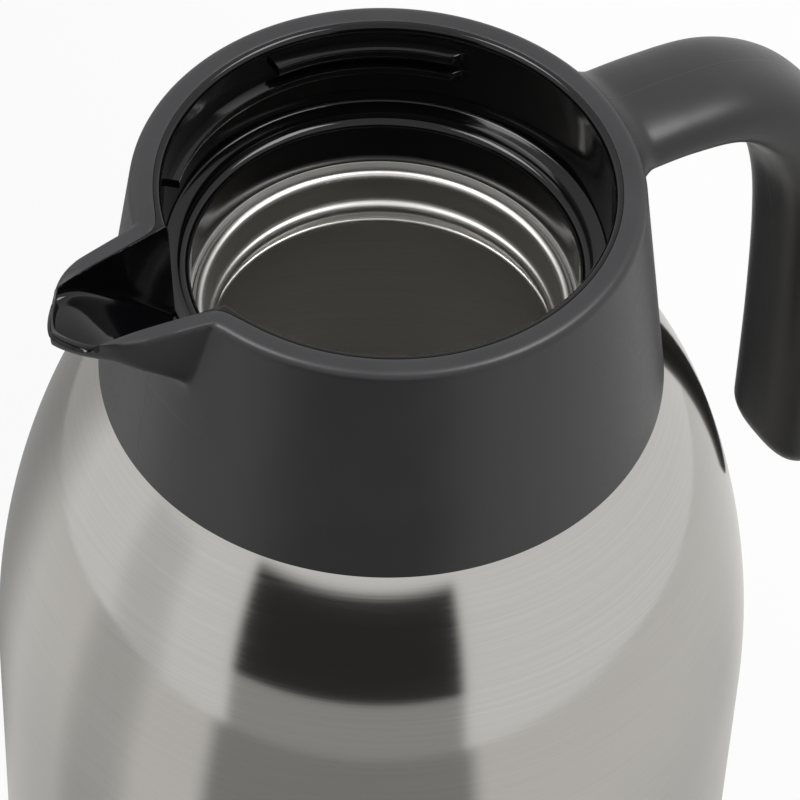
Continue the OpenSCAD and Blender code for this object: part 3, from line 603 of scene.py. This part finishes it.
def liner_column(k):
    """Section of the liner: top, wall of the mouth, ledge, rounded lip, throat and hidden back."""
    top, edge = liner_top(k)
    start, floor = top[-1, 1], LEDGE_DEPTH
    wall = [(MOUTH_R, start + (floor - 0.5 - start) * share) for share in (0.1, 0.3, 0.5, 0.7, 0.9, 1.0)]
    ledge = [(MOUTH_R - 0.06, floor - 0.25), (MOUTH_R - 0.25, floor - 0.06), (MOUTH_R - 0.5, floor),
             (LEDGE_END_R + 0.7, floor + 0.2), (LEDGE_END_R, floor + 0.42)]
    lip_middle = (LINER_LIP_R, RIM - LINER_LIP_DEPTH)
    lip = [(r, RIM - z) for r, z in arc(lip_middle, LINER_LIP_ROUND, 74, 180, 20)]
    throat_out = THROAT_R + THROAT_WALL
    throat = [(THROAT_R, 24.0), (THROAT_R, THROAT_DEPTH), (throat_out, THROAT_DEPTH), (throat_out, 23.0),
              (RIM_INNER, 22.0), (RIM_INNER, 19.0)]
    hidden = under_channel(k, RIM_INNER + 0.1, edge - 0.5, 1.0, (19.0, 0.9))
    return [tuple(point) for point in top] + wall + ledge + lip + throat + hidden


def make_liner():
    columns = np.array([liner_column(k) for k in range(len(ANGLES))])
    points = place(columns)
    faces = grid_faces(len(ANGLES), columns.shape[1], True, True)
    for start, top_z, span in rib_places():
        rib_points, rib_faces = rib(start, top_z, span)
        faces += [tuple(i + len(points) for i in face) for face in rib_faces]
        points = np.vstack([points, rib_points])
    liner = new_mesh("gloss_liner", points, faces, GLOSS)
    stand_in(crease(liner, 38), "mouth_liner")


RIB_ROOT = MOUTH_R + 0.4
RIB_EDGE = MOUTH_R - 2.2
RIB_HEIGHT = 2.0


def rib_places():
    """Start angle from the handle, height of the top and span of each bayonet rib."""
    upper, lower = RIM - 3.9, RIM - 8.3
    return [(37 + turn, top, span) for turn in (0, 180) for top, span in ((upper, 53), (lower, 100))]


def rib(start, top_z, span):
    """A rib with rounded inner edges, tapered into the wall at its start and squared at its end."""
    upper = [(RIB_ROOT, 0), (RIB_EDGE + 0.3, 0), (RIB_EDGE + 0.08, -0.08), (RIB_EDGE, -0.3)]
    section = upper + [(r, -RIB_HEIGHT - z) for r, z in reversed(upper)]
    count = int(span * 1.2)
    points = []
    for turn in np.linspace(start, start + span, count):
        grow = 0.15 + 0.85 * float(smooth_step(turn, start, start + 5))
        a = math.radians(turn)
        for r, z in section:
            radius = RIB_ROOT - (RIB_ROOT - r) * grow
            points.append((radius * math.cos(a), radius * math.sin(a), top_z + z))
    faces = grid_faces(count, len(section), False, True)
    last = (count - 1) * len(section)
    faces += [tuple(range(len(section) - 1, -1, -1)), tuple(last + i for i in range(len(section)))]
    return np.array(points), faces


# Handle. Each station is a share of the way out, of the way down, and from arm to grip in thickness.

HANDLE_STATIONS = [
    (0.00, 0.000, 0.00), (0.27, 0.004, 0.00), (0.52, 0.030, 0.30), (0.72, 0.105, 0.80), (0.86, 0.215, 1.15),
    (0.95, 0.340, 1.50), (0.99, 0.500, 1.50), (1.00, 0.740, 1.15), (1.00, 1.000, 1.00),
]
ROOT_X, GRIP_X = 43.9, 100.7
ARM_DROP, GRIP_DROP = 8.7, 118.0
ARM_THICK, GRIP_THICK, GRIP_HALF = 6.0, 8.2, 12.6
ROOT_FLARE = 1.5
FLARE_FULL_X, FLARE_END_X = 46.0, 50.5
END_FULLNESS = 2.8
HANDLE_TURNS = np.linspace(0, 2 * math.pi, 112, endpoint=False)


def blend(before, start, end, after, t):
    """Smooth curve from start to end that heads as its neighbours do."""
    return 0.5 * (2 * start + (end - before) * t + (2 * before - 5 * start + 4 * end - after) * t ** 2
                  + (3 * start - before - 3 * end + after) * t ** 3)


def handle_line():
    """Middle line of the handle, and its share from arm to grip in thickness."""
    stations = np.array(HANDLE_STATIONS)
    last = len(stations) - 1
    shares = []
    for k in range(last):
        around = [stations[min(max(k + j, 0), last)] for j in (-1, 0, 1, 2)]
        shares += [blend(*around, t) for t in np.linspace(0, 1, 18, endpoint=False)]
    out, down, thickening = np.array(shares + [stations[-1]]).T
    line = np.column_stack([ROOT_X + (GRIP_X - ROOT_X) * out, RIM - ARM_DROP - (GRIP_DROP - ARM_DROP) * down])
    return line, thickening


def oval(middle, along, thick, wide, fullness):
    """Ring of points across the handle."""
    cos, sin = np.cos(HANDLE_TURNS), np.sin(HANDLE_TURNS)
    out = thick * np.sign(cos) * np.abs(cos) ** (2 / fullness)
    across = wide * np.sign(sin) * np.abs(sin) ** (2 / fullness)
    return np.column_stack([middle[0] - along[1] * out, across, middle[1] + along[0] * out])


def handle_rings():
    line, thickening = handle_line()
    heading = np.gradient(line, axis=0)
    heading /= np.hypot(*heading.T)[:, None]
    rings = []
    for point, along, share in zip(line, heading, thickening):
        flare = ROOT_FLARE * float(smooth_step(point[0], FLARE_END_X, FLARE_FULL_X))
        thick = ARM_THICK + (GRIP_THICK - ARM_THICK) * share + flare
        rings.append(oval(point, along, thick, GRIP_HALF + flare, 2.3 + 0.5 * min(1, share)))
    down = (0.0, -1.0)
    for turn in np.radians(np.linspace(6, 87, 14)):
        middle = line[-1] - np.array([0, GRIP_THICK * math.sin(turn)])
        wide = GRIP_HALF * (0.35 + 0.65 * math.cos(turn)) * math.cos(turn / 2)
        rings.append(oval(middle, down, GRIP_THICK * math.cos(turn), wide, END_FULLNESS))
    return rings


def make_handle():
    rings = handle_rings()
    count = len(HANDLE_TURNS)
    points = np.vstack(rings)
    faces = grid_faces(len(rings), count, False, True)
    faces += [tuple(range(count)), tuple(range(len(points) - 1, len(points) - count - 1, -1))]
    handle = new_mesh("satin_handle", points, [face[::-1] for face in faces], GRIP)
    stand_in(crease(handle, 45), "handle")


# Materials of the pieces that keep their CAD shape

CAD_LOOKS = {
    BOLT_STEEL: ["outer_base", "vacuum_seal", "getter", "collar_screws", "handle_screws", "hinge_pin",
                 "lever_spring", "cover_screws"],
    FOIL: ["radiation_foil"],
    DARK_SATIN: ["base_cap", "neck_ring", "lid_bottom"],
    SATIN: ["lid_cover", "flip_lever"],
    GRIP: ["lid_body"],
    SILICONE: ["neck_gasket", "lid_gasket", "port_seal"],
    RUBBER: ["foot_pad"],
    FOAM: ["lid_insulation"],
}


def dress_cad_nodes():
    for material, names in CAD_LOOKS.items():
        for name in names:
            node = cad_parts[name]
            node.data.materials.clear()
            node.data.materials.append(material)


# Studio: a pale floor with painted shade towards the gap, the soft band and the left, a bright surround with
# a dark gap towards the camera, and two softboxes.
# Azimuths are in degrees from the handle. Heights of the surround are sines of the elevation.

GAP_AZIMUTH, GAP_HALF = -129.0, 33.0
BAND_AZIMUTH = 167.0
LEFT_AZIMUTH = 95.0
FLOOR_R = 0.40
FLOOR_Z = -0.0004
PAPER = (0.56, 0.555, 0.545)
# Floor colour of the painted shade, where the floor darkens towards the gap, the soft band and the left
SHADED_PAPER = (0.2, 0.2, 0.197)
WHITE = (1, 1, 1, 1)
# Share of plain white in the floor that the camera sees, the rest keeps the shadow
CAMERA_WHITE = 0.93


def paper():
    """Pale paper with painted shade, darker towards the gap, the soft band and the left."""
    n = new_material("floor_paper_painted_shade")
    axes, least = n.axes(), 0.001
    limit = cosine(GAP_HALF)
    front = n.eased(n.facing(axes, GAP_AZIMUTH, least), limit - 0.03, limit + 0.03)
    band = n.eased(n.facing(axes, BAND_AZIMUTH, least), cosine(14), 1.0, 0, 0.4)
    left = n.eased(n.facing(axes, LEFT_AZIMUTH, least), cosine(40), cosine(10), 0, 0.9)
    # Painted shade: the floor's colour darkens towards the gap, the soft band and the left, and the steel
    # shows this in its reflections
    shade = n.maths("MAXIMUM", n.maths("MAXIMUM", front, band), left)
    level = n.maths("ADD", n.maths("MULTIPLY", n.noise(300.0, 3.0, 0.5), 0.1), shade)
    n.link(n.colours(level, PAPER, SHADED_PAPER), n.shader.inputs["Base Color"])
    n.shader.inputs["Roughness"].default_value = 0.8
    return n


def whiten(n):
    """Adds plain white to what the camera sees of a material."""
    glow = n.node("ShaderNodeEmission")
    glow.inputs["Color"].default_value = WHITE
    glow.inputs["Strength"].default_value = 1.0
    rays = n.node("ShaderNodeLightPath").outputs
    mix = n.node("ShaderNodeMixShader")
    n.link(n.maths("MULTIPLY", rays["Is Camera Ray"], CAMERA_WHITE), mix.inputs[0])
    n.link(n.shader.outputs[0], mix.inputs[1])
    n.link(glow.outputs[0], mix.inputs[2])
    n.link(mix.outputs[0], n.tree.nodes["Material Output"].inputs[0])


def make_floor():
    n = paper()
    whiten(n)
    mesh = bpy.data.meshes.new("floor")
    turns = np.linspace(0, 2 * math.pi, 128, endpoint=False)
    ring = [(FLOOR_R * math.cos(t), FLOOR_R * math.sin(t), FLOOR_Z) for t in turns]
    mesh.from_pydata(ring, [], [tuple(range(len(ring)))])
    mesh.materials.append(n.material)
    floor = bpy.data.objects.new("floor", mesh)
    bpy.context.scene.collection.objects.link(floor)


def surround(n):
    """Brightness of the world for light and reflections."""
    axes, least = n.axes(), 0.0001
    height = axes["Z"]
    limit = cosine(GAP_HALF)
    gap = n.eased(n.facing(axes, GAP_AZIMUTH, least), limit - 0.02, limit + 0.02)
    above = n.eased(height, -0.22, -0.20)
    below = n.eased(height, 0.26, 0.34, 1, 0)
    dark = n.maths("MULTIPLY", n.maths("MULTIPLY", gap, above), below)
    grey = n.maths("MULTIPLY", gap, n.remainder(above))
    band = n.eased(n.facing(axes, BAND_AZIMUTH, least), cosine(13), 1.0, 0, 0.2)
    band = n.maths("MULTIPLY", band, n.eased(height, 0.25, 0.1))
    left = n.eased(n.facing(axes, LEFT_AZIMUTH, least), cosine(38), cosine(12), 0, 0.45)
    left = n.maths("MULTIPLY", left, n.eased(height, 0.25, -0.1))
    level = n.remainder(dark, 0.965)
    for shade in (n.remainder(grey, 0.55), n.remainder(band), n.remainder(left)):
        level = n.maths("MULTIPLY", level, shade)
    return n.maths("MULTIPLY", level, n.eased(height, 0.35, 0.9, 0.92, 0.8))


def make_world():
    """White to the camera, and the surround for all other rays."""
    world = bpy.data.worlds.new("studio")
    bpy.context.scene.world = world
    world.use_nodes = True
    world.node_tree.nodes.clear()
    n = Nodes(world.node_tree, "Generated")
    rays = n.node("ShaderNodeLightPath").outputs
    mix = n.node("ShaderNodeMix", data_type="FLOAT")
    n.link(rays["Is Camera Ray"], mix.inputs["Factor"])
    n.link(surround(n), mix.inputs["A"])
    mix.inputs["B"].default_value = 1.0
    background = n.node("ShaderNodeBackground")
    background.inputs["Color"].default_value = WHITE
    n.link(mix.outputs["Result"], background.inputs["Strength"])
    n.link(background.outputs[0], n.node("ShaderNodeOutputWorld").inputs[0])


def add_softbox(name, azimuth, elevation, size, power):
    """Square softbox at a fixed distance from the mouth of the carafe, facing it."""
    distance = 1.1
    a, e = math.radians(azimuth), math.radians(elevation)
    out = Vector((math.cos(a) * math.cos(e), math.sin(a) * math.cos(e), math.sin(e)))
    lamp = bpy.data.lights.new(name, "AREA")
    lamp.size = size
    lamp.energy = power
    holder = bpy.data.objects.new(name, lamp)
    holder.location = out * distance + Vector((0, 0, RIM * MM))
    holder.rotation_mode = "QUATERNION"
    holder.rotation_quaternion = (-out).to_track_quat("-Z", "Y")
    bpy.context.scene.collection.objects.link(holder)


def make_camera():
    """Fitted to the round edges in the photograph: looks down at 48 degrees from in front and the left."""
    right = Vector((0.8528, -0.5214, 0.0301))
    up = Vector((0.3733, 0.6488, 0.6631))
    forward = Vector((0.3653, 0.5543, -0.7479))
    camera = bpy.data.cameras.new("camera")
    camera.lens = 202.5
    camera.sensor_width = 36
    camera.clip_start = 0.01
    holder = bpy.data.objects.new("camera", camera)
    matrix = Matrix((right, up, -forward)).transposed().to_4x4()
    matrix.translation = (-0.3087, -0.4753, 0.7981)
    holder.matrix_world = matrix
    bpy.context.scene.collection.objects.link(holder)
    bpy.context.scene.camera = holder


make_camera()
make_body()
make_vessel()
make_collar()
make_liner()
make_handle()
dress_cad_nodes()
make_floor()
make_world()
add_softbox("left_softbox", 147, 62, 0.45, 5.5)
add_softbox("right_softbox", -33, 62, 0.5, 6.5)
bpy.context.scene.view_settings.view_transform = "Standard"
